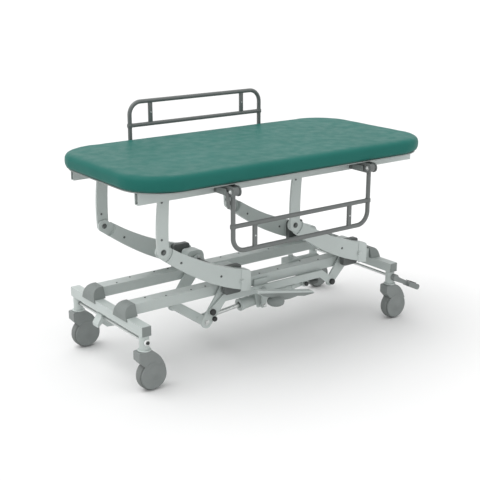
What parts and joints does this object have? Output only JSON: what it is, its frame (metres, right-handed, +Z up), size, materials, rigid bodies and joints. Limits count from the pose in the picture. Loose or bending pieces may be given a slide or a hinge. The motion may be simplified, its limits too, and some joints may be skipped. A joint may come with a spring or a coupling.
{
  "type": "stretcher trolley",
  "caption": "Height-adjustable padded stretcher trolley on swivel casters, with curved parallel lifting arms, a hydraulic ram, a foot pump pedal, brake pedals and fold-down side rails.",
  "frame": {"origin": "on the floor, under the centre of the mattress", "axes": "+Z up, +X along the bed towards the end with the corner brake pedal, +Y across the bed towards the raised side rail"},
  "size_m": [1.504, 0.802, 1.0165],
  "materials": {
    "casting": "pale grey-green powder coat on a cast arm",
    "board": "pale grey laminate board",
    "vinyl": "stitched wipe-clean cover",
    "frame": "pale grey-green powder coat",
    "rail": "mid grey powder coat",
    "moulded": "grained dark grey moulding",
    "caster": "grained grey moulding",
    "tyre": "grey rubber tread",
    "dark": "near-black coat",
    "steel": "bright turned steel",
    "knob": "black moulded plastic"
  },
  "bodies": {
    "base": {"base_rail_near": "frame", "base_rail_far": "frame", "end_frame_left": "frame", "end_frame_right": "frame", "rail_cover_near_left": "moulded", "rail_cover_near_right": "moulded", "rail_cover_far_left": "moulded", "rail_cover_far_right": "moulded", "bearing_block_near_left": "frame", "bearing_block_near_right": "frame", "bearing_block_far_left": "frame", "bearing_block_far_right": "frame", "ram_bracket": "frame", "pump_unit": "frame", "pedal_bracket": "frame", "ram_buffer": "knob"},
    "left_arms": {"lift_arm_near_left": "casting", "lift_arm_far_left": "casting", "torsion_tube_left": "dark", "crank_near_left": "frame", "crank_far_left": "frame", "yoke_beam": "frame"},
    "right_arms": {"lift_arm_near_right": "casting", "lift_arm_far_right": "casting", "torsion_tube_right": "dark", "crank_near_right": "frame"},
    "top_frame": {"mattress": "vinyl", "deck_plate": "board", "top_cross_rail_left": "frame", "top_cross_rail_right": "frame", "top_rail_near": "frame", "top_rail_far": "frame", "drop_post_near_left": "frame", "drop_post_near_right": "frame", "drop_post_far_left": "frame", "drop_post_far_right": "frame", "rail_bracket_near_left": "rail", "rail_bracket_near_right": "rail", "rail_bracket_far_left": "rail", "rail_bracket_far_right": "rail"},
    "tie": {"tie_bar": "frame"},
    "ram_barrel": {"ram_cylinder": "frame"},
    "ram_piston": {"ram_rod": "steel"},
    "pump_pedal": {"rocker_pedal": "moulded"},
    "left_brake": {"brake_rod_left": "steel", "end_brake_pedal": "frame"},
    "right_brake": {"brake_rod_right": "steel", "corner_brake_pedal": "moulded"},
    "near_side_rail": {"side_rail_near": "rail"},
    "near_latch": {"side_rail_latch_near": "rail"},
    "near_left_fork": {"caster_hood_near_left": "caster"},
    "near_left_wheel": {"caster_wheel_near_left": "tyre"},
    "near_right_fork": {"caster_hood_near_right": "caster"},
    "near_right_wheel": {"caster_wheel_near_right": "tyre"},
    "far_side_rail": {"side_rail_far": "rail"},
    "far_latch": {"side_rail_latch_far": "rail"},
    "far_left_fork": {"caster_hood_far_left": "caster"},
    "far_left_wheel": {"caster_wheel_far_left": "tyre"},
    "far_right_fork": {"caster_hood_far_right": "caster"},
    "far_right_wheel": {"caster_wheel_far_right": "tyre"}
  },
  "joints": [
    {"name": "lift", "type": "hinge", "parent": "base", "child": "left_arms", "pos_m": [-0.21, 0, 0.337], "axis": [0, 1, 0], "range_deg": [-38, 18]},
    {"name": "right_arm_pivot", "type": "hinge", "parent": "base", "child": "right_arms", "pos_m": [0.442, 0, 0.337], "axis": [0, 1, 0], "range_deg": [-38, 18]},
    {"name": "top_pivot", "type": "hinge", "parent": "left_arms", "child": "top_frame", "pos_m": [-0.588, 0, 0.531], "axis": [0, 1, 0], "range_deg": [-18, 38]},
    {"name": "tie_pivot", "type": "hinge", "parent": "left_arms", "child": "tie", "pos_m": [-0.321, -0.1725, 0.211], "axis": [0, 1, 0], "range_deg": [-18, 38]},
    {"name": "ram_barrel_pivot", "type": "hinge", "parent": "base", "child": "ram_barrel", "pos_m": [0.199, -0.13, 0.221], "axis": [0, 1, 0], "range_deg": [-8, 8]},
    {"name": "ram_piston_pivot", "type": "hinge", "parent": "left_arms", "child": "ram_piston", "pos_m": [-0.302, -0.13, 0.175], "axis": [0, 1, 0], "range_deg": [-24, 48]},
    {"name": "pump_pedal_pivot", "type": "hinge", "parent": "base", "child": "pump_pedal", "pos_m": [-0.06, -0.163, 0.186], "axis": [0, 1, 0], "range_deg": [0, 10], "stiffness_Nm_per_rad": 25, "springref_deg": -14.32},
    {"name": "left_brake_pivot", "type": "hinge", "parent": "base", "child": "left_brake", "pos_m": [-0.7022, 0, 0.206], "axis": [0, 1, 0], "range_deg": [-14, 14]},
    {"name": "right_brake_pivot", "type": "hinge", "parent": "base", "child": "right_brake", "pos_m": [0.6078, 0, 0.206], "axis": [0, 1, 0], "range_deg": [-12, 12]},
    {"name": "near_rail_hinge", "type": "hinge", "parent": "top_frame", "child": "near_side_rail", "pos_m": [0, -0.3805, 0.764], "axis": [-1, 0, 0], "range_deg": [0, 180]},
    {"name": "far_rail_hinge", "type": "hinge", "parent": "top_frame", "child": "far_side_rail", "pos_m": [0, 0.3805, 0.764], "axis": [-1, 0, 0], "range_deg": [0, 180]},
    {"name": "near_latch_pivot", "type": "hinge", "parent": "top_frame", "child": "near_latch", "pos_m": [-0.3741, -0.364, 0.754], "axis": [1, 0, 0], "range_deg": [0, 25], "stiffness_Nm_per_rad": 0.8, "springref_deg": -17.19},
    {"name": "near_left_swivel", "type": "hinge", "parent": "base", "child": "near_left_fork", "pos_m": [-0.7022, -0.27, 0.17], "axis": [0, 0, 1], "continuous": true},
    {"name": "near_left_axle", "type": "hinge", "parent": "near_left_fork", "child": "near_left_wheel", "pos_m": [-0.6742, -0.27, 0.0625], "axis": [0, 1, 0], "continuous": true},
    {"name": "near_right_swivel", "type": "hinge", "parent": "base", "child": "near_right_fork", "pos_m": [0.6078, -0.27, 0.17], "axis": [0, 0, 1], "continuous": true},
    {"name": "near_right_axle", "type": "hinge", "parent": "near_right_fork", "child": "near_right_wheel", "pos_m": [0.6358, -0.27, 0.0625], "axis": [0, 1, 0], "continuous": true},
    {"name": "far_latch_pivot", "type": "hinge", "parent": "top_frame", "child": "far_latch", "pos_m": [-0.3741, 0.364, 0.754], "axis": [-1, 0, 0], "range_deg": [0, 25], "stiffness_Nm_per_rad": 0.8, "springref_deg": -17.19},
    {"name": "far_left_swivel", "type": "hinge", "parent": "base", "child": "far_left_fork", "pos_m": [-0.7022, 0.27, 0.17], "axis": [0, 0, 1], "continuous": true},
    {"name": "far_left_axle", "type": "hinge", "parent": "far_left_fork", "child": "far_left_wheel", "pos_m": [-0.6742, 0.27, 0.0625], "axis": [0, 1, 0], "continuous": true},
    {"name": "far_right_swivel", "type": "hinge", "parent": "base", "child": "far_right_fork", "pos_m": [0.6078, 0.27, 0.17], "axis": [0, 0, 1], "continuous": true},
    {"name": "far_right_axle", "type": "hinge", "parent": "far_right_fork", "child": "far_right_wheel", "pos_m": [0.6358, 0.27, 0.0625], "axis": [0, 1, 0], "continuous": true}
  ],
  "couplings": [
    {"joint": "right_arm_pivot", "follows": "lift", "ratio": 1},
    {"joint": "top_pivot", "follows": "lift", "ratio": -1},
    {"joint": "tie_pivot", "follows": "lift", "ratio": -1},
    {"joint": "ram_barrel_pivot", "follows": "lift", "ratio": 0.17},
    {"joint": "ram_piston_pivot", "follows": "lift", "ratio": -0.83}
  ]
}
